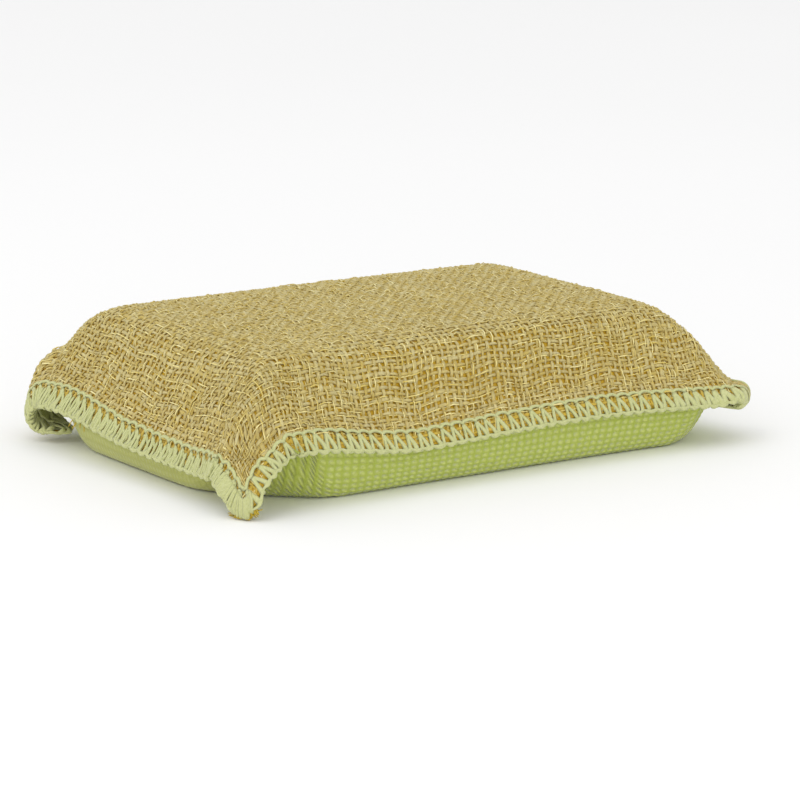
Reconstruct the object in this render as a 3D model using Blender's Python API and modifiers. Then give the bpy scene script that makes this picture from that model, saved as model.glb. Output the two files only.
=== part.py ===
"""Kitchen sponge pad: a foam block sewn between a coarse woven cover and a fine knit cover.

The two covers are cut to one size, laid together, and joined round all four edges by an overlock seam.
The foam pushes the upper cover up and the lower cover down, so the seam hangs out as a narrow flange and
the four corners stay flat as small ears. The ears are bent down, one of them curled right under.
Every cloth surface is one map from flat cloth coordinates to the stuffed shape, then one set of ear bends.
"""
import bpy
import bmesh
import numpy as np
from mathutils import Vector
from numpy import cos, radians, sin

for leftover in list(bpy.data.objects):
    bpy.data.objects.remove(leftover, do_unlink=True)

# Driving dimensions, in metres and degrees
CUT_LENGTH = 0.1680
CUT_WIDTH = 0.1187
TOTAL_HEIGHT = 0.0333
NEEDLE_HEIGHT = 0.0124
SEAM_WIDTH = 0.0034
CLOTH_THICKNESS = 0.0005
THREAD_THICKNESS = 0.0006
CLEARANCE = 0.0005
STITCH_CLEARANCE = 0.0008
FOAM_CLEARANCE = 0.0016
FOAM_SEAT = 0.0003
FOAM_CORNER_ROOM = 0.0036
FOAM_MARGIN = 0.0160

# Stuffed shape
SIDE_ANGLE = 60.7
FOOT_ANGLE = 42.0
FOOT_SHARE = 0.45
SIDE_RUN = 0.0164
SHOULDER_RUN = 0.0160
CROWN_ANGLE = 1.0
FLANGE_ANGLE = 50.0
CORNER_KEEP = 0.49
HIP_POWER = 8.0
EAR_TOP = 0.0068
EAR_EASE = 0.0060
EAR_BASE = 0.0205
EAR_FLAT = 0.0130
FLANGE_FADE = 0.0290
END_STRETCH = 1.18
BASE_INSET = 0.0092
BASE_RUN = 0.0136
BASE_FLATTENING = 1.12
BASE_ROUNDNESS = 2.3
BASE_TUCK = 1.6
BUCKLE_HEIGHT = 0.0005
BUCKLE_PITCH = 0.0155
BUCKLE_RISE = 0.0060
BUCKLE_END = 0.0120
BUCKLE_FADE = 0.0120
BUCKLE_CORNER = 0.0200
WEAVE_RIDGE = 0.00035
WEAVE_FADE = 0.0040

# Lean of the seam: the front rises towards its ear, the left side hangs towards the front
EAR_LIFT = 0.0029
EAR_LIFT_PLACE = 0.019
EAR_LIFT_REACH = 0.034
SIDE_LIFT = 0.0021
SIDE_LIFT_PLACE = 0.022
SIDE_LIFT_REACH = 0.062
END_LIFT = 0.0018
END_LIFT_PLACE = 0.028
END_LIFT_REACH = 0.026
END_SAG = 0.0013
END_SAG_PLACE = -0.011
END_SAG_REACH = 0.034
LEAN_DEPTH = 0.028
DROOP_ALONG = 0.016
DROOP_ACROSS = 0.110
DROOP_RADIUS = 0.028
DROOP_TURN = 26.0

# Ears: reach along the length, reach along the width, bend radius, bend angle
FRONT_EAR = (0.0187, 0.0150, 0.0100, 18.0)
LEFT_EAR = (0.0176, 0.0169, 0.0050, 178.0)
RIGHT_EAR = (0.0095, 0.0095, 0.0042, 150.0)
BACK_EAR = (0.0160, 0.0160, 0.0200, 28.0)

# Overlock stitches
STITCH_PITCH = 0.0067
STITCH_CROWDING = 0.30
STITCH_TOP_SHARE = 0.37
STITCH_EDGE_SHARE = 0.20
NEEDLE_BITE = 0.0018
THREAD_LINE = 0.0003
PURL_REACH = 0.0013

# Cloth grid
EDGE_ZONE = 0.0180
EDGE_CELLS = 7
COVER_CELLS_LENGTH = 16
COVER_CELLS_WIDTH = 9
BASE_CELLS_LENGTH = 11
BASE_CELLS_WIDTH = 6

# Derived sizes
HALF_LENGTH = CUT_LENGTH / 2 - SEAM_WIDTH
HALF_WIDTH = CUT_WIDTH / 2 - SEAM_WIDTH
LAYER_OFFSET = (CLEARANCE + CLOTH_THICKNESS) / 2
BASE_LEVEL = CLOTH_THICKNESS + CLEARANCE / 2
TOP_RISE = TOTAL_HEIGHT - NEEDLE_HEIGHT - CLOTH_THICKNESS - CLEARANCE / 2 - WEAVE_RIDGE - BUCKLE_HEIGHT
BAND_OFFSET = CLEARANCE / 2 + CLOTH_THICKNESS + STITCH_CLEARANCE + THREAD_THICKNESS / 2


def smooth(x):
    x = np.clip(x, 0.0, 1.0)
    return x * x * (3.0 - 2.0 * x)


def side_profile(half):
    """Flat distance from the middle, how far the cloth is drawn in there, and its share of the rise."""
    flat = np.linspace(0.0, half, 400)
    inward = half - flat
    steep = 1.0 - smooth((inward - SIDE_RUN) / SHOULDER_RUN)
    foot = smooth(1.0 - inward / (FOOT_SHARE * SIDE_RUN))
    crown = CROWN_ANGLE * (1.0 - steep) * flat / (half - SIDE_RUN)
    slope = radians(SIDE_ANGLE * steep - (SIDE_ANGLE - FOOT_ANGLE) * foot + crown)
    middle = (slope[1:] + slope[:-1]) / 2
    out = np.concatenate([[0.0], np.cumsum(cos(middle)) * flat[1]])
    drop = np.concatenate([[0.0], np.cumsum(sin(middle)) * flat[1]])
    return flat, flat - out, 1.0 - drop / drop[-1]


LENGTH_PROFILE = side_profile(HALF_LENGTH)
WIDTH_PROFILE = side_profile(HALF_WIDTH)


def soft_min(*heights):
    total = 0.0
    for height in heights:
        total = total + np.maximum(height, 1e-6) ** -HIP_POWER
    return (total / 2.0) ** (-1.0 / HIP_POWER)


def base_depth(inward):
    """How far the lower cloth drops below the needle line, before the base cuts it off flat."""
    share = 1.0 - (1.0 - np.clip(inward / BASE_RUN, 0.0, 1.0)) ** BASE_ROUNDNESS
    return BASE_FLATTENING * NEEDLE_HEIGHT * share


def base_plan(along, half, drawn_in):
    """Plan distance of the lower cover: drawn in under the seam, then evenly spread over the base."""
    edge = half - drawn_in
    near = edge - BASE_INSET * np.clip((half - along) / BASE_RUN, 0.0, 1.0) ** BASE_TUCK
    far = along / (half - BASE_RUN) * (edge - BASE_INSET)
    return np.where(half - along < BASE_RUN, near, far)


def on_slope(inward):
    """One on the side slope, fading to nothing at the needle line and on the top."""
    return smooth(inward / BUCKLE_RISE) * (1.0 - smooth((inward - BUCKLE_END) / BUCKLE_FADE))


def stuffed(p, q, side):
    """Flat cloth coordinates to the stuffed shape, upper cloth for side 1 and lower cloth for side -1."""
    inner_p = np.minimum(np.abs(p), HALF_LENGTH)
    inner_q = np.minimum(np.abs(q), HALF_WIDTH)
    over_p = (np.abs(p) - inner_p) * np.where(p < 0.0, END_STRETCH, 1.0)
    over_q = np.abs(q) - inner_q
    keep_p = 1.0 - (1.0 - CORNER_KEEP) * (inner_q / HALF_WIDTH) ** 4
    keep_q = 1.0 - (1.0 - CORNER_KEEP) * (inner_p / HALF_LENGTH) ** 4
    in_p = HALF_LENGTH - inner_p
    in_q = HALF_WIDTH - inner_q
    corner = (in_p + in_q) / 2 ** 0.5
    flat, drawn, rise_p = LENGTH_PROFILE
    x = inner_p - np.interp(inner_p, flat, drawn) * keep_p
    height_p = TOP_RISE * np.interp(inner_p, flat, rise_p)
    flat, drawn, rise_q = WIDTH_PROFILE
    y = inner_q - np.interp(inner_q, flat, drawn) * keep_q
    height_q = TOP_RISE * np.interp(inner_q, flat, rise_q)
    if side > 0:
        past_ear = np.maximum(corner - EAR_TOP, 0.0)
        height = soft_min(height_p, height_q, past_ear ** 2 / (past_ear + EAR_EASE))
        slope_p = on_slope(in_p) * smooth(in_q / BUCKLE_CORNER)
        slope_q = on_slope(in_q) * smooth(in_p / BUCKLE_CORNER)
        wave_p = sin(2 * np.pi * p / BUCKLE_PITCH + 0.6)
        wave_q = sin(2 * np.pi * q / BUCKLE_PITCH)
        height = height + BUCKLE_HEIGHT * (slope_q * wave_p + slope_p * wave_q)
    else:
        stuffed_share = smooth((corner - 0.8 * EAR_BASE) / EAR_BASE)
        base_x = base_plan(inner_p, HALF_LENGTH, LENGTH_PROFILE[1][-1] * keep_p)
        base_y = base_plan(inner_q, HALF_WIDTH, WIDTH_PROFILE[1][-1] * keep_q)
        x = x + (base_x - x) * stuffed_share
        y = y + (base_y - y) * stuffed_share
        depth = soft_min(base_depth(in_p), base_depth(in_q), base_depth(0.8 * (corner - EAR_BASE)))
        height = -np.minimum(depth, NEEDLE_HEIGHT - BASE_LEVEL)
    tilt_p = radians(FLANGE_ANGLE) * smooth((HALF_WIDTH + SEAM_WIDTH - np.abs(q) - EAR_FLAT) / FLANGE_FADE)
    tilt_q = radians(FLANGE_ANGLE) * smooth((HALF_LENGTH + SEAM_WIDTH - np.abs(p) - EAR_FLAT) / FLANGE_FADE)
    x = x + over_p * cos(tilt_p)
    y = y + over_q * cos(tilt_q)
    z = NEEDLE_HEIGHT + height - over_p * sin(tilt_p) - over_q * sin(tilt_q)
    return np.stack([np.sign(p) * x, np.sign(q) * y, z], -1)


def raised(p, q, side, offset):
    """The stuffed shape moved out along the mean of the four normals round each point."""
    step = 1e-4
    here = stuffed(p, q, side)
    ahead_p = stuffed(p + step, q, side) - here
    behind_p = here - stuffed(p - step, q, side)
    ahead_q = stuffed(p, q + step, side) - here
    behind_q = here - stuffed(p, q - step, side)
    normal = 0.0
    for along_p in (ahead_p, behind_p):
        for along_q in (ahead_q, behind_q):
            part = np.cross(along_p, along_q)
            normal = normal + part / np.linalg.norm(part, axis=-1, keepdims=True)
    normal = normal / np.linalg.norm(normal, axis=-1, keepdims=True)
    return here + normal * np.asarray(offset)[..., None]


CORNER = stuffed(np.array(HALF_LENGTH), np.array(HALF_WIDTH), 1)


def curled(points, way_x, way_y, ear, level, weight=1.0):
    """Bends whatever lies past a slanting line near one corner down around that line."""
    reach_x, reach_y, radius, turn = ear
    corner = np.array([way_x * CORNER[0], way_y * CORNER[1]])
    start = corner - np.array([way_x * reach_x, 0.0])
    outward = np.array([way_x * reach_y, way_y * reach_x]) / np.hypot(reach_x, reach_y)
    past = (points[..., :2] - start) @ outward
    height = points[..., 2] - level
    angle = np.clip(past / radius, 0.0, radians(turn))
    rest = np.maximum(past, 0.0) - radius * angle
    move = radius * sin(angle) + rest * cos(angle) + height * sin(angle) - np.maximum(past, 0.0)
    rise = height * cos(angle) - radius * (1.0 - cos(angle)) - rest * sin(angle) - height
    shift = np.stack([move * outward[0], move * outward[1], rise], -1)
    return points + shift * np.asarray(weight)[..., None]


def posed(points):
    """Lean of the seam, then the bends of the four ears."""
    loose = smooth(points[..., 2] / NEEDLE_HEIGHT)
    depth = (points[..., 1] + CORNER[1]) / LEAN_DEPTH
    ear_run = np.hypot((points[..., 0] + CORNER[0] - EAR_LIFT_PLACE) / EAR_LIFT_REACH, depth)
    side_run = np.hypot((points[..., 0] - SIDE_LIFT_PLACE) / SIDE_LIFT_REACH, depth)
    lean = EAR_LIFT * (1.0 - smooth(ear_run)) + SIDE_LIFT * (1.0 - smooth(side_run))
    depth = (points[..., 0] + CORNER[0]) / LEAN_DEPTH
    lift_run = np.hypot((points[..., 1] - END_LIFT_PLACE) / END_LIFT_REACH, depth)
    sag_run = np.hypot((points[..., 1] - END_SAG_PLACE) / END_SAG_REACH, depth)
    lean = lean + END_LIFT * (1.0 - smooth(lift_run)) - END_SAG * (1.0 - smooth(sag_run))
    points = points + np.stack([0 * lean, 0 * lean, lean * loose], -1)
    points = curled(points, -1, -1, FRONT_EAR, NEEDLE_HEIGHT + EAR_LIFT)
    droop = (DROOP_ALONG, DROOP_ACROSS, DROOP_RADIUS, DROOP_TURN)
    points = curled(points, -1, -1, droop, NEEDLE_HEIGHT, loose)
    points = curled(points, -1, 1, LEFT_EAR, NEEDLE_HEIGHT)
    points = curled(points, 1, -1, RIGHT_EAR, NEEDLE_HEIGHT)
    return curled(points, 1, 1, BACK_EAR, NEEDLE_HEIGHT)


def grid_lines(half, cells):
    """Flat positions of the cloth grid: close together by the needle line, two cells across the flange."""
    middle = np.linspace(EDGE_ZONE - half, half - EDGE_ZONE, cells + 1)
    edge = np.linspace(half - EDGE_ZONE, half, EDGE_CELLS + 1)[1:]
    flange = np.array([half + SEAM_WIDTH / 2, half + SEAM_WIDTH])
    outer = np.concatenate([edge, flange])
    return np.concatenate([-outer[::-1], middle, outer])


def grid_mesh(columns, rows):
    """A flat grid with the column and row number of each of its points."""
    bm = bmesh.new()
    bmesh.ops.create_grid(bm, x_segments=columns, y_segments=rows, size=1.0)
    flat = np.array([vert.co[:2] for vert in bm.verts])
    index = np.rint((flat + 1.0) / 2.0 * np.array([columns, rows])).astype(int)
    return bm, index[:, 0], index[:, 1]


def place(bm, points):
    for vert, point in zip(bm.verts, points):
        vert.co = Vector([float(value) for value in point])


collection = bpy.data.collections.new("kitchen_sponge")
bpy.context.scene.collection.children.link(collection)


def add_piece(name, bm, colour, roughness, thickness=0.0):
    """One named object with its own material, given its thickness by Solidify when it is a sheet."""
    mesh = bpy.data.meshes.new(name)
    bm.to_mesh(mesh)
    bm.free()
    material = bpy.data.materials.new(name + "_material")
    material.use_nodes = True
    shader = material.node_tree.nodes["Principled BSDF"]
    shader.inputs["Base Color"].default_value = colour + (1.0,)
    shader.inputs["Roughness"].default_value = roughness
    mesh.materials.append(material)
    piece = bpy.data.objects.new(name, mesh)
    collection.objects.link(piece)
    if thickness > 0.0:
        solidify = piece.modifiers.new("thickness", "SOLIDIFY")
        solidify.thickness = thickness
        solidify.offset = 0.0
    return piece


# Scouring cover: coarse weave, drawn over the foam, raised at every second crossing of the grid
lines_p = grid_lines(HALF_LENGTH, COVER_CELLS_LENGTH)
lines_q = grid_lines(HALF_WIDTH, COVER_CELLS_WIDTH)
bm, column, row = grid_mesh(len(lines_p) - 1, len(lines_q) - 1)
flat_p = lines_p[column]
flat_q = lines_q[row]
inward = np.minimum(HALF_LENGTH - np.abs(flat_p), HALF_WIDTH - np.abs(flat_q))
inside = smooth((inward - 2 * NEEDLE_BITE) / WEAVE_FADE)
ridge = WEAVE_RIDGE * inside * ((column + row) % 2)
place(bm, posed(raised(flat_p, flat_q, 1, LAYER_OFFSET + ridge)))
add_piece("scouring_cover", bm, (0.46, 0.36, 0.14), 0.8, CLOTH_THICKNESS)

# Microfibre cover: fine knit, flat where it rests, drawn in under the seam
lines_p = grid_lines(HALF_LENGTH, BASE_CELLS_LENGTH)
lines_q = grid_lines(HALF_WIDTH, BASE_CELLS_WIDTH)
bm, column, row = grid_mesh(len(lines_p) - 1, len(lines_q) - 1)
flat_p = lines_p[column]
flat_q = lines_q[row]
place(bm, posed(raised(flat_p, flat_q, -1, np.full(len(flat_p), -LAYER_OFFSET))))
add_piece("microfibre_cover", bm, (0.40, 0.44, 0.13), 0.9, CLOTH_THICKNESS)

# Foam core: a block that rests on the lower cover, with a little room at its corners and under the upper one
bm = bmesh.new()
bmesh.ops.create_cube(bm, size=2.0)
bmesh.ops.subdivide_edges(bm, edges=bm.edges[:], cuts=4, use_grid_fill=True)
block = np.array([vert.co[:] for vert in bm.verts])
flat_p = block[:, 0] * (HALF_LENGTH - FOAM_MARGIN)
flat_q = block[:, 1] * (HALF_WIDTH - FOAM_MARGIN)
ceiling = posed(raised(flat_p, flat_q, 1, np.full(len(flat_p), -FOAM_CLEARANCE)))
at_corner = (block[:, 0] * block[:, 1]) ** 2
floor = posed(raised(flat_p, flat_q, -1, FOAM_SEAT - CLEARANCE / 2 + FOAM_CORNER_ROOM * at_corner))
share = (block[:, 2:] + 1.0) / 2.0
place(bm, floor + (ceiling - floor) * share)
add_piece("foam_core", bm, (0.80, 0.72, 0.45), 0.9)

# Overlock seam: a band of thread folded over the cut edges, open between the stitches on its upper face
MIDDLE_SHARE = (STITCH_TOP_SHARE + STITCH_EDGE_SHARE) / 2
INNER_ROWS = [-NEEDLE_BITE, THREAD_LINE, SEAM_WIDTH / 2]
EDGE_ROW = SEAM_WIDTH + THREAD_LINE
PURL_ROW = SEAM_WIDTH + PURL_REACH
ROW_REACH = np.array(INNER_ROWS + [EDGE_ROW, PURL_ROW, PURL_ROW, EDGE_ROW])
ROW_OFFSET = BAND_OFFSET * np.array([1.0, 1.0, 1.0, 1.0, 0.4, -0.4, -1.0])
ROW_SHARE = np.array([0.30, STITCH_TOP_SHARE, MIDDLE_SHARE, STITCH_EDGE_SHARE, 0.30, 0.30, 0.30])
stitches = [round(2 * half / STITCH_PITCH) for half in (HALF_LENGTH, HALF_WIDTH, HALF_LENGTH, HALF_WIDTH)]
side_of = []
place_of = []
right_of = []
for edge, count in enumerate(stitches):
    for step in range(2 * count + 1):
        side_of.append(edge)
        place_of.append(0.0 if step == 0 else ((step - 1) // 2 + 0.5) / count)
        right_of.append(0.0 if step == 0 else (((step - 1) % 2) * 2 - 1) / count)
side_of.append(0)
place_of.append(0.0)
right_of.append(0.0)
side_of = np.array(side_of)
place_of = np.array(place_of)
right_of = np.array(right_of)
bm, column, row = grid_mesh(len(side_of) - 1, len(ROW_REACH) - 1)
reach = ROW_REACH[row]
run = -1.0 + 2.0 * (place_of[column] + right_of[column] * ROW_SHARE[row])
run = run * (1.0 + STITCH_CROWDING - STITCH_CROWDING * run ** 2)
length = HALF_LENGTH + reach
width = HALF_WIDTH + reach
side = side_of[column]
flat_p = np.select([side == 0, side == 1, side == 2], [run * length, length, -run * length], -length)
flat_q = np.select([side == 0, side == 1, side == 2], [-width, run * width, width], -run * width)
upper = raised(flat_p, flat_q, 1, ROW_OFFSET[row])
lower = raised(flat_p, flat_q, -1, ROW_OFFSET[row])
place(bm, posed(np.where(ROW_OFFSET[row][:, None] > 0, upper, lower)))
windows = []
for face in bm.faces:
    corners = [vert.index for vert in face.verts]
    columns_here = sorted(set(column[corners]))
    rows_here = sorted(set(row[corners]))
    left = columns_here[0]
    is_window = rows_here in ([1, 2], [2, 3]) and right_of[left] < 0.0
    if is_window:
        windows.append(face)
bmesh.ops.delete(bm, geom=windows, context="FACES_ONLY")
bmesh.ops.remove_doubles(bm, verts=bm.verts[:], dist=1e-5)
bmesh.ops.recalc_face_normals(bm, faces=bm.faces[:])
add_piece("overlock_seam", bm, (0.58, 0.64, 0.30), 0.7, THREAD_THICKNESS)
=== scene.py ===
import bmesh
import bpy
import numpy as np
from mathutils import Matrix, Vector
from numpy import cos, pi, radians, sin


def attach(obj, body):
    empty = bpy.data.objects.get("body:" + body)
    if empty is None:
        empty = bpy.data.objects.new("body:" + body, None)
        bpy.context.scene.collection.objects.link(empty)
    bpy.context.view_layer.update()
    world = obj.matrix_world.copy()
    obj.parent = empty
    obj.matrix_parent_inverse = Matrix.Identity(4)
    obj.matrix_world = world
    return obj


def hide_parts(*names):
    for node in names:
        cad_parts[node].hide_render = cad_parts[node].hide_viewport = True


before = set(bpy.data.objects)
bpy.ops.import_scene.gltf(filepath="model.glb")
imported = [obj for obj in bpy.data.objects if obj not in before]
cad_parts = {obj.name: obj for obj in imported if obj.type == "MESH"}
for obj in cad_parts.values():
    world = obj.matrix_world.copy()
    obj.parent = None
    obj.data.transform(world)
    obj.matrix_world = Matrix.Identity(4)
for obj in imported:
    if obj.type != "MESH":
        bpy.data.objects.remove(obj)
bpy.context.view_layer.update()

# Foam block
# The soft core that fills the pad: open-cell foam, cut to size and laid between the covers before they are
# sewn. Its swell gives both of them their shape, and so the stuffed shape is worked out here.
CUT_LENGTH = 0.1680
CUT_WIDTH = 0.1187
NEEDLE_HEIGHT = 0.0124
SEAM_WIDTH = 0.0034
TOP_RISE = 0.0193
BASE_LEVEL = 0.00075
FOAM_MARGIN = 0.0130
FOAM_GAP = 0.0006
FOAM_CELLS = 40

# The slope of the upper cloth, in degrees, and the runs over which it changes, from the needle line in.
SIDE_ANGLE = 60.7
FOOT_ANGLE = 42.0
FOOT_SHARE = 0.45
SIDE_RUN = 0.0164
SHOULDER_RUN = 0.0160
CROWN_ANGLE = 1.0
FLANGE_ANGLE = 50.0
CORNER_KEEP = 0.49
HIP_POWER = 8.0
PROFILE_POINTS = 400

# The ears: how far in from a corner the two cloths still lie together, above and below.
EAR_TOP = 0.0071
EAR_EASE = 0.0030
EAR_BASE = 0.0135
EAR_BASE_LEFT = 0.0180
EAR_BASE_FRONT = 0.0205
EAR_BASE_START = 0.8
EAR_BASE_SLOPE = 0.8
EAR_FLAT = 0.0080
FLANGE_FADE = 0.0140

# The lower cloth: how far it is drawn in under the seam, and how it turns into the flat base.
BASE_INSET = 0.0092
BASE_RUN = 0.0136
BASE_FLATTENING = 1.12
BASE_ROUNDNESS = 2.3
BASE_TUCK = 1.6

# Small buckles on the slopes of the upper cloth, where the seam gathers it.
BUCKLE_HEIGHT = 0.0005
BUCKLE_PITCH = 0.0155
BUCKLE_PHASE = 0.6
BUCKLE_RISE = 0.0060
BUCKLE_END = 0.0120
BUCKLE_FADE = 0.0120
BUCKLE_CORNER = 0.0200

# How the seam is stretched at the left end, and where along the front and the left end it rises or sags.
END_STRETCH = 1.3
EAR_LIFT = 0.0043
EAR_LIFT_PLACE = 0.019
EAR_LIFT_REACH = 0.0357
SIDE_LIFT = 0.0021
SIDE_LIFT_PLACE = 0.022
SIDE_LIFT_REACH = 0.062
END_LIFT = 0.0018
END_LIFT_PLACE = 0.028
END_LIFT_REACH = 0.026
END_SAG = 0.0016
END_SAG_PLACE = -0.011
END_SAG_REACH = 0.034
LEAN_DEPTH = 0.028

# For each bend at a corner: how far from the corner it starts along the length and along the width, the
# radius that it is bent round, and its turn in degrees.
DROOP = (0.0165, 0.0967, 0.0281, 39.5)
FRONT_EAR = (0.0198, 0.0142, 0.0012, 36.0)
LEFT_EAR = (0.0286, 0.0172, 0.0047, 178.0)
RIGHT_EAR = (0.0088, 0.0088, 0.0015, 178.0)
BACK_EAR = (0.0160, 0.0160, 0.0200, 28.0)

HALF_LENGTH = CUT_LENGTH / 2 - SEAM_WIDTH
HALF_WIDTH = CUT_WIDTH / 2 - SEAM_WIDTH


def smooth(share):
    """A soft step from 0 to 1."""
    share = np.clip(share, 0.0, 1.0)
    return share * share * (3.0 - 2.0 * share)


def side_profile(half):
    """Flat distance from the middle, how far the cloth is drawn in there, and its share of the rise."""
    flat = np.linspace(0.0, half, PROFILE_POINTS)
    inward = half - flat
    steep = 1.0 - smooth((inward - SIDE_RUN) / SHOULDER_RUN)
    foot = smooth(1.0 - inward / (FOOT_SHARE * SIDE_RUN))
    crown = CROWN_ANGLE * (1.0 - steep) * flat / (half - SIDE_RUN)
    slope = radians(SIDE_ANGLE * steep - (SIDE_ANGLE - FOOT_ANGLE) * foot + crown)
    middle = (slope[1:] + slope[:-1]) / 2
    out = np.concatenate([[0.0], np.cumsum(cos(middle)) * flat[1]])
    drop = np.concatenate([[0.0], np.cumsum(sin(middle)) * flat[1]])
    return flat, flat - out, 1.0 - drop / drop[-1]


LENGTH_PROFILE = side_profile(HALF_LENGTH)
WIDTH_PROFILE = side_profile(HALF_WIDTH)


def soft_min(*heights):
    """The least of the heights, rounded where two of them meet."""
    total = 0.0
    for height in heights:
        total = total + np.maximum(height, 1e-6) ** -HIP_POWER
    return (total / 2.0) ** (-1.0 / HIP_POWER)


def base_depth(inward):
    """How far the lower cloth drops below the needle line, before the base cuts it off flat."""
    share = 1.0 - (1.0 - np.clip(inward / BASE_RUN, 0.0, 1.0)) ** BASE_ROUNDNESS
    return BASE_FLATTENING * NEEDLE_HEIGHT * share


def base_plan(along, half, drawn_in):
    """Plan distance of the lower cloth: drawn in under the seam, then evenly spread over the base."""
    edge = half - drawn_in
    near = edge - BASE_INSET * np.clip((half - along) / BASE_RUN, 0.0, 1.0) ** BASE_TUCK
    far = along / (half - BASE_RUN) * (edge - BASE_INSET)
    return np.where(half - along < BASE_RUN, near, far)


def on_slope(inward):
    """One on the side slope, fading to nothing at the needle line and on the top."""
    return smooth(inward / BUCKLE_RISE) * (1.0 - smooth((inward - BUCKLE_END) / BUCKLE_FADE))


def stuffed(p, q, side):
    """Where a place on the flat cloth lies on the pad: upper cloth for side 1, lower cloth for side -1."""
    inner_p = np.minimum(np.abs(p), HALF_LENGTH)
    inner_q = np.minimum(np.abs(q), HALF_WIDTH)
    over_p = (np.abs(p) - inner_p) * np.where(p < 0.0, END_STRETCH, 1.0)
    over_q = np.abs(q) - inner_q
    rounding = np.maximum(over_p, over_q) / np.maximum(np.hypot(over_p, over_q), 1e-9)
    rounding = np.where((over_p > 0.0) & (over_q > 0.0), rounding, 1.0)
    over_p = over_p * rounding
    over_q = over_q * rounding
    keep_p = 1.0 - (1.0 - CORNER_KEEP) * (inner_q / HALF_WIDTH) ** 4
    keep_q = 1.0 - (1.0 - CORNER_KEEP) * (inner_p / HALF_LENGTH) ** 4
    in_p = HALF_LENGTH - inner_p
    in_q = HALF_WIDTH - inner_q
    corner = (in_p + in_q) / 2 ** 0.5
    flat, drawn, rise_p = LENGTH_PROFILE
    x = inner_p - np.interp(inner_p, flat, drawn) * keep_p
    height_p = TOP_RISE * np.interp(inner_p, flat, rise_p)
    flat, drawn, rise_q = WIDTH_PROFILE
    y = inner_q - np.interp(inner_q, flat, drawn) * keep_q
    height_q = TOP_RISE * np.interp(inner_q, flat, rise_q)
    if side > 0:
        past_ear = np.maximum(corner - EAR_TOP, 0.0)
        height = soft_min(height_p, height_q, past_ear ** 2 / (past_ear + EAR_EASE))
        slope_p = on_slope(in_p) * smooth(in_q / BUCKLE_CORNER)
        slope_q = on_slope(in_q) * smooth(in_p / BUCKLE_CORNER)
        wave_p = sin(2 * pi * p / BUCKLE_PITCH + BUCKLE_PHASE)
        wave_q = sin(2 * pi * q / BUCKLE_PITCH)
        height = height + BUCKLE_HEIGHT * (slope_q * wave_p + slope_p * wave_q)
    else:
        ear_base = np.where(p < 0.0, np.where(q < 0.0, EAR_BASE_FRONT, EAR_BASE_LEFT), EAR_BASE)
        stuffed_share = smooth((corner - EAR_BASE_START * ear_base) / ear_base)
        base_x = base_plan(inner_p, HALF_LENGTH, LENGTH_PROFILE[1][-1] * keep_p)
        base_y = base_plan(inner_q, HALF_WIDTH, WIDTH_PROFILE[1][-1] * keep_q)
        x = x + (base_x - x) * stuffed_share
        y = y + (base_y - y) * stuffed_share
        from_ear = EAR_BASE_SLOPE * (corner - ear_base)
        depth = soft_min(base_depth(in_p), base_depth(in_q), base_depth(from_ear))
        height = -np.minimum(depth, NEEDLE_HEIGHT - BASE_LEVEL)
    tilt_p = radians(FLANGE_ANGLE) * smooth((CUT_WIDTH / 2 - np.abs(q) - EAR_FLAT) / FLANGE_FADE)
    tilt_q = radians(FLANGE_ANGLE) * smooth((CUT_LENGTH / 2 - np.abs(p) - EAR_FLAT) / FLANGE_FADE)
    x = x + over_p * cos(tilt_p)
    y = y + over_q * cos(tilt_q)
    z = NEEDLE_HEIGHT + height - over_p * sin(tilt_p) - over_q * sin(tilt_q)
    return np.stack([np.sign(p) * x, np.sign(q) * y, z], -1)


def raised(p, q, side, lift):
    """The stuffed shape moved out along the mean of the four normals round each point."""
    step = 1e-4
    here = stuffed(p, q, side)
    ahead_p = stuffed(p + step, q, side) - here
    behind_p = here - stuffed(p - step, q, side)
    ahead_q = stuffed(p, q + step, side) - here
    behind_q = here - stuffed(p, q - step, side)
    normal = 0.0
    for along_p in (ahead_p, behind_p):
        for along_q in (ahead_q, behind_q):
            part = np.cross(along_p, along_q)
            normal = normal + part / np.linalg.norm(part, axis=-1, keepdims=True)
    normal = normal / np.linalg.norm(normal, axis=-1, keepdims=True)
    return here + normal * np.asarray(lift)[..., None]


CORNER = stuffed(np.array(HALF_LENGTH), np.array(HALF_WIDTH), 1)


def curled(points, way_x, way_y, ear, level, weight=1.0):
    """Bends whatever lies past a slanting line near one corner down around that line."""
    reach_x, reach_y, radius, turn = ear
    corner = np.array([way_x * CORNER[0], way_y * CORNER[1]])
    start = corner - np.array([way_x * reach_x, 0.0])
    outward = np.array([way_x * reach_y, way_y * reach_x]) / np.hypot(reach_x, reach_y)
    past = (points[..., :2] - start) @ outward
    height = points[..., 2] - level
    angle = np.clip(past / radius, 0.0, radians(turn))
    rest = np.maximum(past, 0.0) - radius * angle
    move = radius * sin(angle) + rest * cos(angle) + height * sin(angle) - np.maximum(past, 0.0)
    rise = height * cos(angle) - radius * (1.0 - cos(angle)) - rest * sin(angle) - height
    shift = np.stack([move * outward[0], move * outward[1], rise], -1)
    return points + shift * np.asarray(weight)[..., None]


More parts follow.
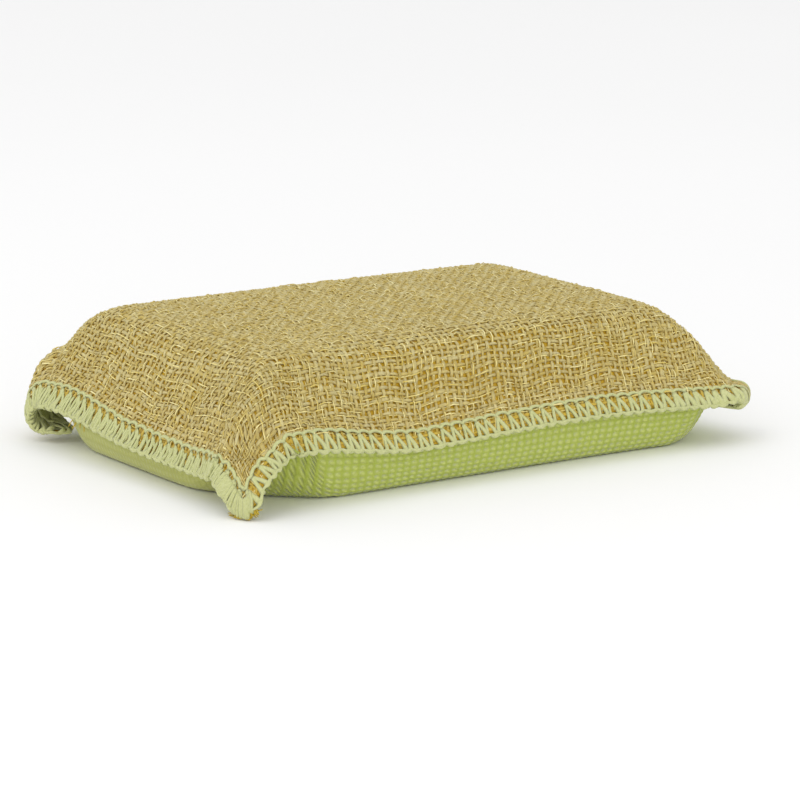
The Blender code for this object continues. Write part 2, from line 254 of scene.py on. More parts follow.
def posed(points):
    """Leans the seam up and down along the front and the left, then bends the four ears."""
    loose = smooth(points[..., 2] / NEEDLE_HEIGHT)
    depth = (points[..., 1] + CORNER[1]) / LEAN_DEPTH
    ear_run = np.hypot((points[..., 0] + CORNER[0] - EAR_LIFT_PLACE) / EAR_LIFT_REACH, depth)
    side_run = np.hypot((points[..., 0] - SIDE_LIFT_PLACE) / SIDE_LIFT_REACH, depth)
    lean = EAR_LIFT * (1.0 - smooth(ear_run)) + SIDE_LIFT * (1.0 - smooth(side_run))
    depth = (points[..., 0] + CORNER[0]) / LEAN_DEPTH
    lift_run = np.hypot((points[..., 1] - END_LIFT_PLACE) / END_LIFT_REACH, depth)
    sag_run = np.hypot((points[..., 1] - END_SAG_PLACE) / END_SAG_REACH, depth)
    lean = lean + END_LIFT * (1.0 - smooth(lift_run)) - END_SAG * (1.0 - smooth(sag_run))
    points = points + np.stack([0 * lean, 0 * lean, lean * loose], -1)
    points = curled(points, -1, -1, FRONT_EAR, NEEDLE_HEIGHT + EAR_LIFT)
    points = curled(points, -1, -1, DROOP, NEEDLE_HEIGHT, loose)
    points = curled(points, -1, 1, LEFT_EAR, NEEDLE_HEIGHT)
    points = curled(points, 1, -1, RIGHT_EAR, NEEDLE_HEIGHT)
    return curled(points, 1, 1, BACK_EAR, NEEDLE_HEIGHT)


def on_pad(p, q, lift, side):
    """A point of the pad, from its place on the flat cloth and its lift off the layer between the covers."""
    return posed(raised(p, q, side, lift))


class Socket:
    """One value in a material. Arithmetic on it adds the Math nodes."""

    def __init__(self, finish, socket):
        self.finish = finish
        self.socket = socket

    def math(self, operation, left, right):
        return self.finish.node("Math", {"operation": operation}, {0: left, 1: right})

    def __add__(self, other):
        return self.math("ADD", self, other)

    def __radd__(self, other):
        return self.math("ADD", other, self)

    def __sub__(self, other):
        return self.math("SUBTRACT", self, other)

    def __rsub__(self, other):
        return self.math("SUBTRACT", other, self)

    def __mul__(self, other):
        return self.math("MULTIPLY", self, other)

    def __rmul__(self, other):
        return self.math("MULTIPLY", other, self)


class Finish:
    """A material. node() adds any node to it, by type, settings and sockets, and returns one output."""

    def __init__(self, name, **constants):
        self.material = bpy.data.materials.new(name)
        self.material.use_nodes = True
        self.tree = self.material.node_tree
        self.shader = self.tree.nodes["Principled BSDF"]
        for socket, value in constants.items():
            self.shader.inputs[socket.replace("_", " ")].default_value = value

    def node(self, kind, settings, sockets, output=0):
        node = self.tree.nodes.new("ShaderNode" + kind)
        for name, value in settings.items():
            setattr(node, name, value)
        for name, value in sockets.items():
            self.join(node.inputs[name], value)
        return Socket(self, node.outputs[output])

    def join(self, socket, value):
        if isinstance(value, Socket):
            self.tree.links.new(value.socket, socket)
        else:
            socket.default_value = value

    def mark(self, name):
        """A number kept on the points of the mesh."""
        return self.node("Attribute", {"attribute_name": name}, {}, "Fac")

    def mix(self, factor, first, second):
        """One colour blended into another."""
        return self.node("Mix", {"data_type": "RGBA"}, {0: factor, 6: first, 7: second}, 2)

    def noise(self, vector, scale, detail=2.0):
        return self.node("TexNoise", {}, {"Vector": vector, "Scale": scale, "Detail": detail})

    def place(self):
        """Object coordinates."""
        return self.node("TexCoord", {}, {}, "Object")

    def colour(self, value):
        self.join(self.shader.inputs["Base Color"], value)

    def relief(self, height, distance):
        bump = self.node("Bump", {}, {"Height": height, "Distance": distance})
        self.join(self.shader.inputs["Normal"], bump)


def tint(red, green, blue):
    """A screen colour, 0 to 255, as the linear colour that a shader takes."""
    share = np.array([red, green, blue]) / 255.0
    linear = np.where(share <= 0.04045, share / 12.92, ((share + 0.055) / 1.055) ** 2.4)
    return (float(linear[0]), float(linear[1]), float(linear[2]), 1.0)


MERGE_DISTANCE = 2e-6


def make_piece(name, bm, points, marks, material):
    """Puts each point in its place with its marks, merges what meets, and hangs the piece on the pad."""
    layers = [(bm.verts.layers.float.new(key), value) for key, value in marks.items()]
    for index, vert in enumerate(bm.verts):
        vert.co = Vector(points[index].tolist())
        for layer, value in layers:
            vert[layer] = float(value[index])
    bmesh.ops.remove_doubles(bm, verts=bm.verts[:], dist=MERGE_DISTANCE)
    bmesh.ops.recalc_face_normals(bm, faces=bm.faces[:])
    mesh = bpy.data.meshes.new(name)
    bm.to_mesh(mesh)
    bm.free()
    mesh.polygons.foreach_set("use_smooth", [True] * len(mesh.polygons))
    mesh.materials.append(material)
    piece = bpy.data.objects.new(name, mesh)
    bpy.context.scene.collection.objects.link(piece)
    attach(piece, "root")
    return piece


FOAM_SHADE = tint(222, 206, 150)
FOAM_CREAM = tint(240, 228, 182)

foam = Finish("open_cell_foam", Roughness=0.95, Sheen_Weight=0.2)
cells = foam.node("TexVoronoi", {}, {"Vector": foam.place(), "Scale": 1400.0}, "Distance")
foam.colour(foam.mix(cells, FOAM_SHADE, FOAM_CREAM))
foam.relief(cells, 0.0004)

bm = bmesh.new()
bmesh.ops.create_cube(bm, size=2.0)
bmesh.ops.subdivide_edges(bm, edges=bm.edges[:], cuts=FOAM_CELLS - 1, use_grid_fill=True)
block = np.array([vert.co[:] for vert in bm.verts])
flat_p = block[:, 0] * (HALF_LENGTH - FOAM_MARGIN)
flat_q = block[:, 1] * (HALF_WIDTH - FOAM_MARGIN)
foam_top = on_pad(flat_p, flat_q, np.full(len(flat_p), -FOAM_GAP), 1)
foam_base = on_pad(flat_p, flat_q, np.full(len(flat_p), FOAM_GAP), -1)
points = foam_base + (foam_top - foam_base) * (block[:, 2:] + 1.0) / 2.0
foam_block = make_piece("foam_block", bm, points, {}, foam.material)
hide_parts("foam_core")

# Lower cover
# A lime-green microfibre knit whose loops stand as columns of small soft bumps. It lies flat where the pad
# rests, is drawn in under the seam, and ends at the cut edge, under the sewing thread.
KNIT_COLUMN = 0.00188
KNIT_ROW = 0.00118
KNIT_LIFT = 0.00045
KNIT_BUMP = 0.00030
COLUMN_POINTS = 4
ROW_POINTS = 2
KNIT_LOW = 0.55
KNIT_UNEVEN = 0.4
KNIT_SMOOTH_END = 0.024
KNIT_SMOOTH_FADE = 0.008
KNIT_SMOOTHED = 0.7
SEAM_SQUEEZE = 0.45
SQUEEZE_START = 0.0012
SQUEEZE_RUN = 0.0036
LINE_POINTS = 4000
# The paler loop colour is a painted highlight on the loop tops; the deeper one is painted shade in the gaps
# between loops.
KNIT_PAINTED_HIGHLIGHT = tint(218, 226, 136)
KNIT_GREEN = tint(182, 193, 82)
KNIT_PAINTED_SHADE = tint(154, 170, 42)
END_GREEN = tint(184, 186, 96)
END_DARK = tint(150, 152, 54)
END_PALE = tint(204, 206, 124)
DICE = np.random.default_rng(11)


def squeezed(p, q):
    """Share of its thickness that the cloth keeps: all of it on the pad, less inside the seam."""
    past = np.maximum(np.abs(p) - HALF_LENGTH, np.abs(q) - HALF_WIDTH)
    return 1.0 - SEAM_SQUEEZE * smooth((past + SQUEEZE_START) / SQUEEZE_RUN)


def evenly(line, half, step):
    """Flat places from edge to edge, one step apart along a line of the shaped cloth."""
    flat = np.linspace(-half, half, LINE_POINTS)
    travel = np.concatenate([[0.0], np.cumsum(np.linalg.norm(np.diff(line(flat), axis=0), axis=1))])
    return np.interp(np.linspace(0.0, travel[-1], round(travel[-1] / step) + 1), travel, flat)


def grid_of(columns, rows):
    """A flat grid, with the column and the row of each of its points."""
    bm = bmesh.new()
    bmesh.ops.create_grid(bm, x_segments=columns, y_segments=rows, size=1.0)
    flat = np.array([vert.co[:2] for vert in bm.verts])
    index = np.rint((flat + 1.0) / 2.0 * np.array([columns, rows])).astype(int)
    return bm, index[:, 0], index[:, 1]


knit = Finish("green_knit", Roughness=0.85, Sheen_Weight=0.35, Sheen_Roughness=0.5)
fuzz = knit.noise(knit.place(), 2600.0, 3.0)
patches = knit.noise(knit.place(), 160.0, 2.0)
sway = 0.5 * knit.noise(knit.place(), 420.0, 2.0)
column_wave = knit.node("Math", {"operation": "COSINE"}, {0: 2 * pi * (knit.mark("column") + sway)})
row_wave = knit.node("Math", {"operation": "COSINE"}, {0: 2 * pi * (knit.mark("row") + sway)})
loop = (0.56 + 0.44 * column_wave) * (0.60 - 0.40 * row_wave)
streaks = knit.node("CombineXYZ", {}, {"X": 1.3 * knit.mark("column"), "Y": 0.05 * knit.mark("row")})
streaks = knit.noise(streaks, 1.0, 2.0)
# Painted light: each loop is painted pale on its top as a highlight, and deep in the gaps round it as shade.
painted_loop_light = knit.node("MapRange", {}, {"Value": loop + 0.3 * fuzz, 1: 0.2, 2: 0.8, 3: 0.0, 4: 1.0})
at_end = knit.mark("at_end")
looped = knit.mix(painted_loop_light, KNIT_PAINTED_SHADE, KNIT_PAINTED_HIGHLIGHT)
looped = knit.mix(0.8 * at_end, looped, knit.mix(streaks, END_DARK, END_PALE))
green = knit.mix(at_end, KNIT_GREEN, END_GREEN)
knit.colour(knit.mix(0.2 + 0.5 * patches, looped, green))
knit.relief(loop * (1.0 - 0.8 * at_end) + 0.35 * fuzz, 0.0005)

column_step = KNIT_COLUMN / COLUMN_POINTS
row_step = KNIT_ROW / ROW_POINTS
column_places = evenly(lambda flat: stuffed(flat, 0.0 * flat, -1), CUT_LENGTH / 2, column_step)
row_places = evenly(lambda flat: stuffed(0.0 * flat, flat, -1), CUT_WIDTH / 2, row_step)
bm, column, row = grid_of(len(column_places) - 1, len(row_places) - 1)
flat_p = column_places[column]
flat_q = row_places[row]
loop_column = column / COLUMN_POINTS
loop_row = row / ROW_POINTS
at_end = smooth((KNIT_SMOOTH_END - HALF_LENGTH - flat_p) / KNIT_SMOOTH_FADE)
bump = (0.5 + 0.5 * cos(2 * pi * loop_column)) * (row % ROW_POINTS) * (1.0 - KNIT_SMOOTHED * at_end)
dice = DICE.random((len(column_places), len(row_places)))[loop_column.astype(int), loop_row.astype(int)]
lift = KNIT_LIFT + KNIT_BUMP * bump * (KNIT_LOW + KNIT_UNEVEN * dice)
points = on_pad(flat_p, flat_q, -lift * squeezed(flat_p, flat_q), -1)
marks = {"column": loop_column, "row": loop_row, "at_end": at_end}
lower_cover = make_piece("lower_cover", bm, points, marks, knit.material)
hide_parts("microfibre_cover")

# Upper cover, ground
# The scouring cloth's own ground: a thin net of gold filament behind the yarns, which shows as dark gold
# in the gaps of the weave and in the openings of the seam.
GROUND_LIFT = 0.00042
GROUND_THICKNESS = 0.0002
GROUND_COLUMNS = 150
GROUND_ROWS = 106
GROUND_DARK = tint(182, 140, 14)
GROUND_GOLD = tint(214, 178, 42)

ground = Finish("gold_ground", Roughness=0.6)
net = ground.noise(ground.place(), 1500.0, 3.0)
ground.colour(ground.mix(net, GROUND_DARK, GROUND_GOLD))
ground.relief(net, 0.0003)

bm, column, row = grid_of(GROUND_COLUMNS, GROUND_ROWS)
flat_p = (column / GROUND_COLUMNS - 0.5) * CUT_LENGTH
flat_q = (row / GROUND_ROWS - 0.5) * CUT_WIDTH
points = on_pad(flat_p, flat_q, GROUND_LIFT * squeezed(flat_p, flat_q), 1)
upper_ground = make_piece("upper_ground", bm, points, {}, ground.material)
solidify = upper_ground.modifiers.new("thickness", "SOLIDIFY")
solidify.thickness = GROUND_THICKNESS
solidify.offset = 0.0
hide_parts("scouring_cover")

# Upper cover, yarns
# Wide flat beige yarns in an open plain weave, each passing over one and under the next. They are spun
# unevenly, so width, height and tone change along every yarn.
YARN_PITCH = 0.00160
YARN_HALF_WIDTH = 0.00042
YARN_HALF_HEIGHT = 0.00025
YARN_WAVE = 0.00024
WEAVE_LIFT = 0.00080
YARN_SIDES = 5
YARN_WANDER = 0.00012
YARN_SCATTER = 0.00042
SLUB_LENGTH = 0.021
SLUB_SHARE = 0.2
WANDER_LENGTH = 0.034
TONE_LENGTH = 0.09
CLOSED_END = 0.002
FRONT_SKEW = 0.2
FRONT_SKEW_FROM = 0.036
SEAM_TINT_START = 0.0006
SEAM_TINT_RUN = 0.0012
YARN_BEIGE = tint(204, 194, 134)
YARN_PALE = tint(224, 218, 176)
# The gold is also painted into the dips, where a yarn passes under a crossing yarn, as painted shade.
YARN_GOLD = tint(190, 158, 40)
YARN_IN_SEAM = tint(206, 174, 44)
WARP_COUNT = round(CUT_WIDTH / YARN_PITCH)
WEFT_COUNT = round(CUT_LENGTH / YARN_PITCH)


def strands_of(count, steps, sides):
    """Strips that are rolled up into strands: the mesh, and each point's strand, step and side."""
    bm, step, line = grid_of(steps, count * (sides + 1) - 1)
    between = []
    for face in bm.faces:
        lines = {line[vert.index] // (sides + 1) for vert in face.verts}
        if len(lines) > 1:
            between.append(face)
    bmesh.ops.delete(bm, geom=between, context="FACES")
    return bm, line // (sides + 1), step, line % (sides + 1)


def waver(strand, along, pitch):
    """A slow random waver, between about -1 and 1, along each strand."""
    count = int(strand.max()) + 1
    total = 0.0
    for frequency in (1.0, 0.43, 0.21):
        phase = DICE.random(count)[strand]
        total = total + sin(2 * pi * (along / (pitch / frequency) + phase))
    return total / 2.0


def woven(name, lengthways, strand_shape, beside, floats, material):
    """One family of strands of the weave: yarns or, between and beside those, filaments that float."""
    sides, half_width, half_height, wave, wander = strand_shape
    count, crossings = (WARP_COUNT, WEFT_COUNT) if lengthways else (WEFT_COUNT, WARP_COUNT)
    length, width = (CUT_LENGTH, CUT_WIDTH) if lengthways else (CUT_WIDTH, CUT_LENGTH)
    count = count - 1 if beside else count
    bm, strand, step, side = strands_of(count, 2 * crossings, sides)
    along = (step / (2 * crossings) - 0.5) * length
    cell = np.minimum(step // 2, crossings - 1)
    dice = DICE.random((4, count, crossings))[:, strand, cell]
    slub = SLUB_SHARE * waver(strand, along, SLUB_LENGTH)
    closed_end = np.where((step == 0) | (step == 2 * crossings), CLOSED_END, 1.0)
    over = sin(pi * step / 2) * (1.0 - 2.0 * (strand % 2)) * (1.0 if lengthways else -1.0)
    if beside:
        on_top = 2.0 * (DICE.random((count, 2 * crossings + 1)) < floats) - 1.0
        level = (on_top + np.roll(on_top, 1, axis=1) + np.roll(on_top, -1, axis=1)) / 3.0
        over = level[strand, step]
    angle = 2 * pi * side / sides + pi * (0.5 - 1.0 / sides)
    thick = closed_end * (1.0 + slub + 0.5 * (dice[0] - 0.5))
    place = (strand + (1.0 if beside else 0.5)) / count - 0.5
    across = place * width + wander * waver(strand, along, WANDER_LENGTH)
    across = across + YARN_SCATTER * (DICE.random(count)[strand] - 0.5)
    across = across + half_width * thick * cos(angle)
    flat_p, flat_q = (along, across) if lengthways else (across, along)
    skewed = np.maximum(-flat_q - FRONT_SKEW_FROM, 0.0) * (1.0 - (2.0 * flat_p / CUT_LENGTH) ** 2)
    flat_p = np.clip(flat_p - FRONT_SKEW * skewed, -CUT_LENGTH / 2, CUT_LENGTH / 2)
    flat_q = np.clip(flat_q, -CUT_WIDTH / 2, CUT_WIDTH / 2)
    past = np.maximum(np.abs(flat_p) - HALF_LENGTH, np.abs(flat_q) - HALF_WIDTH)
    lift = WEAVE_LIFT + wave * over * (0.8 + 0.5 * dice[1]) + half_height * closed_end * sin(angle)
    lift = lift * squeezed(flat_p, flat_q)
    tone = np.clip(0.5 + 0.22 * waver(strand, along, TONE_LENGTH) + 0.9 * (dice[2] - 0.5), 0.0, 1.0)
    marks = {
        "along": along,
        "around": side / sides,
        "strand": strand.astype(float),
        "tone": tone,
        "raised": 0.5 + 0.5 * over,
        "in_seam": smooth((past + SEAM_TINT_START) / SEAM_TINT_RUN),
    }
    return make_piece(name, bm, on_pad(flat_p, flat_q, lift, 1), marks, material)


yarn = Finish("beige_yarn", Roughness=0.75, Sheen_Weight=0.15)
lengthwise = {"X": yarn.mark("along") * 700.0, "Y": yarn.mark("around") * 9.0}
lengthwise["Z"] = yarn.mark("strand") * 7.3
fibres = yarn.noise(yarn.node("CombineXYZ", {}, lengthwise), 1.0, 3.0)
tone = yarn.mix(yarn.mark("tone"), YARN_GOLD, YARN_PALE)
tone = yarn.mix(0.5, tone, YARN_BEIGE)
tone = yarn.mix(0.55 * fibres, tone, YARN_GOLD)
# Painted shade: where a yarn dips under a crossing yarn, its colour is mixed toward the darker gold.
painted_dip_shade = yarn.node("MapRange", {}, {"Value": yarn.mark("raised"), 1: 0.0, 2: 0.6, 3: 0.75, 4: 0.0})
tone = yarn.mix(painted_dip_shade, tone, YARN_GOLD)
yarn.colour(yarn.mix(0.85 * yarn.mark("in_seam"), tone, YARN_IN_SEAM))
yarn.relief(fibres, 0.0002)

yarn_shape = (YARN_SIDES, YARN_HALF_WIDTH, YARN_HALF_HEIGHT, YARN_WAVE, YARN_WANDER)
warp_yarns = woven("warp_yarns", True, yarn_shape, False, 0.0, yarn.material)
weft_yarns = woven("weft_yarns", False, yarn_shape, False, 0.0, yarn.material)

# Upper cover, filaments
# Thin stiff shiny filaments woven in beside the yarns. They do the scouring, lie a little proud, and catch
# the light as short pale-gold dashes.
FILAMENT_SIDES = 3
FILAMENT_RADIUS = 0.00016
FILAMENT_WAVE = 0.00050
FILAMENT_WANDER = 0.00030
FILAMENT_FLOATS = 0.40
FILAMENT_GOLD = tint(220, 194, 84)
FILAMENT_PALE = tint(250, 238, 170)

shiny = Finish("gold_filament", Roughness=0.32, Specular_IOR_Level=0.6, Coat_Weight=0.3)
shiny.colour(shiny.mix(shiny.mark("tone"), FILAMENT_GOLD, FILAMENT_PALE))

filament_shape = (FILAMENT_SIDES, FILAMENT_RADIUS, FILAMENT_RADIUS, FILAMENT_WAVE, FILAMENT_WANDER)
warp_filaments = woven("warp_filaments", True, filament_shape, True, FILAMENT_FLOATS, shiny.material)
weft_filaments = woven("weft_filaments", False, filament_shape, True, FILAMENT_FLOATS, shiny.material)

# Overlock seam
# Bulky pale yellow-green thread, sewn round all four cut edges. Its legs run from the needle line over the
# edge and back below it, a looped line joins their ends on both sides, and a thick purl lies along the edge.
STITCH_PITCH = 0.00322
NEEDLE_LIFT = 0.00100
EDGE_LIFT = 0.00066
CORNER_FAN = 0.0060
THREAD_HALF_WIDTH = 0.00037
THREAD_HALF_HEIGHT = 0.00025
STITCH_JITTER = 0.12
LEG_LEAN = 0.24
LEG_SPREAD = 0.33
LEG_CURVE = 1.4
LEG_SWELL = 0.3
LEG_STEPS = 16
THREAD_SIDES = 6
THREAD_END = 0.002
OUTSIDE = 0.0008
ARC_STEPS = 10
ARC_CURVE = 0.6
LINE_HALF_WIDTH = 0.00043
LINE_REACH = 0.0002
LINE_ARCH = 0.00065
LINE_PROUD = 0.00005
LINE_ARCH_PROUD = 0.00010
PURL_LIFT = 0.00035
PURL_REACH = 0.00060
PURL_RADIUS = 0.00044
PURL_SWAY = 0.00016
PURL_RISE = 0.00012
PURL_PINCH = 0.28
PURL_OUTSIDE = 0.0006
THREAD_SHADE = tint(174, 179, 106)
THREAD_PALE = tint(216, 217, 164)

# Counted in stitches round from the front corner: how full the legs are there, and how far they bow.
CROWD_PLACES = (0.0, 3.0, 7.0, 37.0, 42.0, 50.0, 85.0, 135.0, 139.0, 151.0, 155.0, 161.0, 165.0)
CROWD_SHARES = (1.5, 1.35, 1.2, 1.2, 1.75, 1.9, 1.3, 1.3, 1.5, 1.5, 1.3, 1.2, 1.6)
BOW_PLACES = (0.0, 50.0, 85.0, 135.0, 140.0, 165.0)
BOW_SHARES = (0.0, 0.05, 0.2, 0.2, 0.45, 0.3)
STITCHES = [round(2 * half / STITCH_PITCH) for half in 2 * (HALF_LENGTH, HALF_WIDTH)]
STITCH_TOTAL = sum(STITCHES)


def on_seam(turn, reach, lift):
    """A point of the seam: stitches round from the front corner, reach past the needle line, and lift."""
    turn = np.mod(turn, STITCH_TOTAL)
    starts = np.cumsum([0] + STITCHES[:3])
    edge = np.searchsorted(starts, turn, side="right") - 1
    done = turn - starts[edge]
    count = np.array(STITCHES)[edge]
    from_corner = np.minimum(done, count - done)
    run = -1.0 + 2.0 * done / count
    fan = reach * np.sign(run) * (1.0 - smooth(from_corner * STITCH_PITCH / CORNER_FAN))
    along_p = run * HALF_LENGTH + fan
    along_q = run * HALF_WIDTH + fan
    length = HALF_LENGTH + reach
    width = HALF_WIDTH + reach
    flat_p = np.select([edge == 0, edge == 1, edge == 2], [along_p, length, -along_p], -length)
    flat_q = np.select([edge == 0, edge == 1, edge == 2], [-width, along_q, width], -along_q)
    above = on_pad(flat_p, flat_q, lift, 1)
    below = on_pad(flat_p, flat_q, lift, -1)
    return np.where(lift[..., None] > 0, above, below)


def along_seam(turn, places, shares):
    """A value that changes slowly round the seam."""
    return np.interp(np.mod(turn, STITCH_TOTAL), places, shares, period=STITCH_TOTAL)


def round_edge(travel, proud):
    """Reach and lift of a thread that runs out over the cut edge and back below it, for travel 0 to 1."""
    radius = EDGE_LIFT + proud
    bend = pi * radius
    gone = travel * (2 * SEAM_WIDTH + bend)
    angle = np.clip((gone - SEAM_WIDTH) / radius, 0.0, pi)
    back = np.maximum(gone - SEAM_WIDTH - bend, 0.0)
    reach = np.minimum(gone, SEAM_WIDTH) + radius * sin(angle) - back
    thinning = 1.0 - smooth(reach / SEAM_WIDTH)
    return reach, radius * cos(angle) + np.sign(cos(angle)) * (NEEDLE_LIFT - EDGE_LIFT) * thinning


def unit(vectors):
    """The same directions, each one long."""
    return vectors / np.linalg.norm(vectors, axis=-1, keepdims=True)


def thread(name, centres, outsides, half_width, half_height, closed, material):
    """Tubes along rows of centre points, one row a strand, with their flat side to the outside points."""
    count, length = centres.shape[:2]
    if closed:
        ahead = np.roll(centres, -1, axis=1) - np.roll(centres, 1, axis=1)
    else:
        ahead = np.gradient(centres, axis=1)
    ahead = unit(ahead)
    sideways = unit(np.cross(ahead, outsides - centres))
    up = np.cross(sideways, ahead)
    bm, strand, step, side = strands_of(count, length if closed else length - 1, THREAD_SIDES)
    step = step % length
    angle = 2 * pi * side / THREAD_SIDES
    ends = np.ones(length)
    if not closed:
        ends[[0, -1]] = THREAD_END
    wide = (ends * half_width * np.ones((count, 1)))[strand, step]
    high = (ends * half_height * np.ones((count, 1)))[strand, step]
    offset = sideways[strand, step] * (wide * cos(angle))[:, None]
    offset = offset + up[strand, step] * (high * sin(angle))[:, None]
    hops = np.linalg.norm(np.diff(centres, axis=1, prepend=centres[:, :1]), axis=2)
    marks = {
        "along": np.cumsum(hops, axis=1)[strand, step],
        "around": side / THREAD_SIDES,
        "strand": strand.astype(float),
    }
    return make_piece(name, bm, centres[strand, step] + offset, marks, material)


cotton = Finish("pale_green_thread", Roughness=0.7, Sheen_Weight=0.3, Sheen_Roughness=0.4)
around = 5.0 * cotton.mark("around")
twist = {"X": cotton.mark("along") * 2600.0 + around, "Y": around, "Z": cotton.mark("strand") * 3.1}
plies = cotton.noise(cotton.node("CombineXYZ", {}, twist), 1.0, 2.0)
cotton.colour(cotton.mix(plies, THREAD_SHADE, THREAD_PALE))
cotton.relief(plies, 0.0002)


def over_edge(name, turn, travel, proud, half_width, half_height):
    """Strands sewn over the edge: along each, its place in stitches, its travel, and how proud it lies."""
    reach, lift = round_edge(travel, proud)
    outer_reach, outer_lift = round_edge(travel, proud + OUTSIDE)
    centres = on_seam(turn, reach + 0.0 * turn, lift + 0.0 * turn)
    outsides = on_seam(turn, outer_reach + 0.0 * turn, outer_lift + 0.0 * turn)
    return thread(name, centres, outsides, half_width, half_height, False, cotton.material)


travel = np.linspace(0.0, 1.0, LEG_STEPS)
wander = STITCH_JITTER * (2.0 * DICE.random((4, STITCH_TOTAL)) - 1.0)
node_turn = np.arange(STITCH_TOTAL) + 0.5 + wander[0]
ways = np.repeat([-1.0, 1.0], STITCH_TOTAL)[:, None]
spread = LEG_SPREAD + np.concatenate([wander[1], wander[2]])[:, None]
node = np.tile(node_turn, 2)[:, None]
turn = node + (ways * spread + LEG_LEAN) * sin(pi * travel) ** LEG_CURVE
turn = turn + along_seam(node, BOW_PLACES, BOW_SHARES) * sin(2 * pi * travel)
crowd = along_seam(node, CROWD_PLACES, CROWD_SHARES) * (1.0 + np.tile(wander[3], 2)[:, None])
crowd = crowd * (1.0 + LEG_SWELL * sin(pi * travel) ** 4)
seam_legs = over_edge("seam_legs", turn, travel, 0.0, THREAD_HALF_WIDTH * crowd, THREAD_HALF_HEIGHT)
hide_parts("overlock_seam")

turn = np.arange(STITCH_TOTAL * ARC_STEPS)[None, :] / ARC_STEPS
nodes = np.concatenate([node_turn - STITCH_TOTAL, node_turn, node_turn + STITCH_TOTAL])
stitch = np.interp(turn, nodes, np.arange(3 * STITCH_TOTAL))
last_node = stitch.astype(int) % STITCH_TOTAL
arch = np.abs(sin(pi * stitch)) ** ARC_CURVE * (1.0 + 2.0 * wander[1][last_node])
for name, sign in (("needle_line_top", 1.0), ("needle_line_base", -1.0)):
    reach = LINE_REACH - LINE_ARCH * arch
    lift = sign * (NEEDLE_LIFT + LINE_PROUD + LINE_ARCH_PROUD * arch)
    centres = on_seam(turn, reach, lift)
    outsides = on_seam(turn, reach, lift + sign * OUTSIDE)
    thread(name, centres, outsides, LINE_HALF_WIDTH, THREAD_HALF_HEIGHT, True, cotton.material)

knot = cos(2 * pi * stitch)
reach = SEAM_WIDTH + PURL_REACH - PURL_SWAY * knot
lift = PURL_LIFT + PURL_RISE * knot
centres = on_seam(turn, reach, lift)
outsides = on_seam(turn, reach + OUTSIDE, lift + PURL_OUTSIDE)
purl_width = PURL_RADIUS * (1.0 - PURL_PINCH * knot) * (1.0 + wander[2][last_node])
thread("edge_purl", centres, outsides, purl_width, purl_width, True, cotton.material)

# Satin on the left edge
# The same thread, sewn closer over the edge: almost strand against strand along the left, and without gaps
# round the front ear, where the sewing starts and stops and makes a smooth pale cap.
SATIN_STRANDS = (0, 72, 92, 118)
SATIN_PLACES = (-33.5, -6.0, -2.0, 0.7)
SATIN_TRAVEL = (0.07, 0.93)
SATIN_SCATTER = 1.1
SATIN_LEAN = -0.25
SATIN_PROUD = 0.00026
SATIN_LOW = 0.6
SATIN_UNEVEN = 0.7
SATIN_HALF_WIDTH = 0.00037
SATIN_HALF_HEIGHT = 0.00021

satin_count = SATIN_STRANDS[-1] + 1
scattered = np.arange(satin_count) + SATIN_SCATTER * (DICE.random(satin_count) - 0.5)
travel = np.linspace(*SATIN_TRAVEL, LEG_STEPS)
turn = np.interp(scattered, SATIN_STRANDS, SATIN_PLACES)[:, None] + SATIN_LEAN * sin(pi * travel)
proud = SATIN_PROUD * (SATIN_LOW + SATIN_UNEVEN * DICE.random((satin_count, 1)))
over_edge("edge_satin", turn, travel, proud, SATIN_HALF_WIDTH, SATIN_HALF_HEIGHT)

# Loose ends
# Where the cloth was cut, gold weft frays out under the front ear's tip and a little at the left ear. The
# sewing thread's own cut tail stands out at the right ear.
FRAY_COUNT = 90
FRAY_STEPS = 7
FRAY_RADIUS = 0.00013
FRAY_LENGTH = 0.0022
FRAY_START = 0.0002
FRAY_AT_FRONT = -0.1
FRAY_AT_LEFT = 146.3
FRAY_LEFT_SHARE = 0.05
FRAY_SPREAD = 1.6
FRAY_SPLAY = 0.9
FRAY_LOWEST = -0.0014
FRAY_DEPTH = 0.0018
FRAY_SAG = 0.0004
FRAY_CLEARANCE = 0.0004
FRAY_DARK = tint(168, 140, 22)
FRAY_GOLD = tint(206, 182, 60)
TAIL_RADIUS = 0.0002
TAIL_LENGTH = 0.0024
TAIL_START = 0.0006
TAIL_PLACE = 50.4
TAIL_LEAN = 0.5
TAIL_LIFT = 0.0004
UPWARD = np.array([0.0, 0.0, 0.001])

frayed = Finish("frayed_gold", Roughness=0.6)
frayed.colour(frayed.mix(frayed.noise(frayed.place(), 900.0), FRAY_DARK, FRAY_GOLD))
gone = np.linspace(0.0, 1.0, FRAY_STEPS)[None, :]
dice = DICE.random((5, FRAY_COUNT, 1))
turn = np.where(dice[4] > 1.0 - FRAY_LEFT_SHARE, FRAY_AT_LEFT, FRAY_AT_FRONT)
turn = turn + FRAY_SPREAD * (dice[0] - 0.5) + FRAY_SPLAY * (dice[1] - 0.5) * gone
reach = SEAM_WIDTH + FRAY_START + FRAY_LENGTH * (0.5 + 0.5 * dice[2]) * gone
centres = on_seam(turn, reach, FRAY_LOWEST + FRAY_DEPTH * dice[3] - FRAY_SAG * gone ** 2)
centres[..., 2] = np.maximum(centres[..., 2], FRAY_CLEARANCE)
outsides = centres + UPWARD
thread("frayed_ends", centres, outsides, FRAY_RADIUS, FRAY_RADIUS, False, frayed.material)

reach = SEAM_WIDTH + TAIL_START + TAIL_LENGTH * gone
centres = on_seam(TAIL_PLACE + TAIL_LEAN * gone, reach, TAIL_LIFT * (1.0 + gone))
thread("thread_tail", centres, centres + UPWARD, TAIL_RADIUS, TAIL_RADIUS, False, cotton.material)

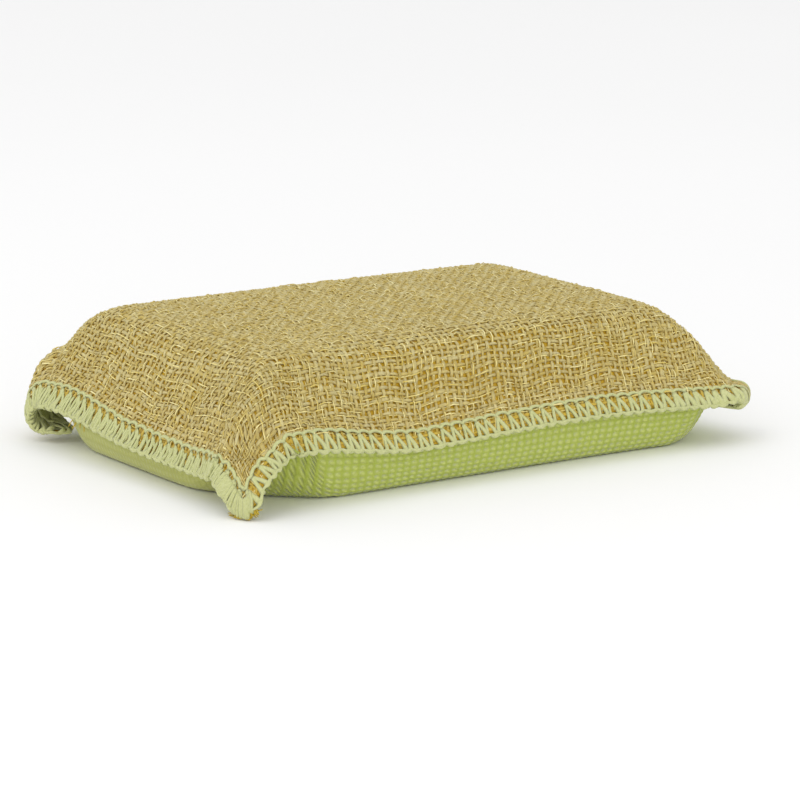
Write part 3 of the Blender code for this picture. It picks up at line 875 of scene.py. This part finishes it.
# Studio
# A plain pale floor in a white surround, with soft lights above, to the left and in front of the pad. The
# camera stands at the photograph's angle.
FLOOR_HALF = 6.0
FLOOR_DARK = tint(250, 250, 250)
FLOOR_PALE = tint(253, 253, 253)
SURROUND_COLOUR = (1.0, 1.0, 1.0, 1.0)
SURROUND_STRENGTH = 0.88
CAMERA_AZIMUTH = -35.97
CAMERA_HEIGHT = 12.475
CAMERA_DISTANCE = 0.861
CAMERA_TARGET = Vector((0.0, 0.0, 0.014))
CAMERA_ROLL = 1.072
CAMERA_LENS = 163.03
CAMERA_SENSOR = 36.0
CAMERA_SHIFT = (0.0204, -0.0260)
CAMERA_NEAREST = 0.01

pale = Finish("pale_floor", Roughness=0.9)
pale.colour(pale.mix(pale.noise(pale.place(), 3.0), FLOOR_DARK, FLOOR_PALE))
bm = bmesh.new()
bmesh.ops.create_grid(bm, x_segments=1, y_segments=1, size=FLOOR_HALF)
mesh = bpy.data.meshes.new("floor")
bm.to_mesh(mesh)
bm.free()
mesh.materials.append(pale.material)
floor = bpy.data.objects.new("floor", mesh)
bpy.context.scene.collection.objects.link(floor)

world = bpy.data.worlds.new("studio")
world.use_nodes = True
surround = world.node_tree.nodes["Background"]
surround.inputs["Color"].default_value = SURROUND_COLOUR
surround.inputs["Strength"].default_value = SURROUND_STRENGTH
bpy.context.scene.world = world


def towards(azimuth, height):
    """The direction from the pad to a light or to the camera, from its angles in degrees."""
    turn = radians(azimuth)
    rise = radians(height)
    return Vector((sin(turn) * cos(rise), -cos(turn) * cos(rise), sin(rise)))


def soft_light(name, azimuth, height, distance, size, power):
    """A square light that faces the pad."""
    data = bpy.data.lights.new(name, "AREA")
    data.energy = power
    data.size = size
    lamp = bpy.data.objects.new(name, data)
    back = towards(azimuth, height)
    turned = back.to_track_quat("Z", "Y").to_matrix().to_4x4()
    lamp.matrix_world = Matrix.Translation(back * distance) @ turned
    bpy.context.scene.collection.objects.link(lamp)


soft_light("key_light", azimuth=-75.0, height=50.0, distance=1.4, size=0.9, power=3.2)
soft_light("top_light", azimuth=20.0, height=80.0, distance=1.5, size=1.2, power=1.2)
soft_light("fill_light", azimuth=-30.0, height=7.0, distance=1.3, size=0.5, power=2.2)

azimuth = radians(CAMERA_AZIMUTH)
roll = radians(CAMERA_ROLL)
back = towards(CAMERA_AZIMUTH, CAMERA_HEIGHT)
right = Vector((cos(azimuth), sin(azimuth), 0.0))
up = back.cross(right)
camera_right = right * cos(roll) + up * sin(roll)
camera_up = up * cos(roll) - right * sin(roll)
lens = bpy.data.cameras.new("camera")
lens.lens = CAMERA_LENS
lens.sensor_width = CAMERA_SENSOR
lens.shift_x, lens.shift_y = CAMERA_SHIFT
lens.clip_start = CAMERA_NEAREST
camera = bpy.data.objects.new("camera", lens)
turned = Matrix((camera_right, camera_up, back)).transposed().to_4x4()
camera.matrix_world = Matrix.Translation(CAMERA_TARGET + back * CAMERA_DISTANCE) @ turned
bpy.context.scene.collection.objects.link(camera)
bpy.context.scene.camera = camera
bpy.context.scene.view_settings.view_transform = "Standard"
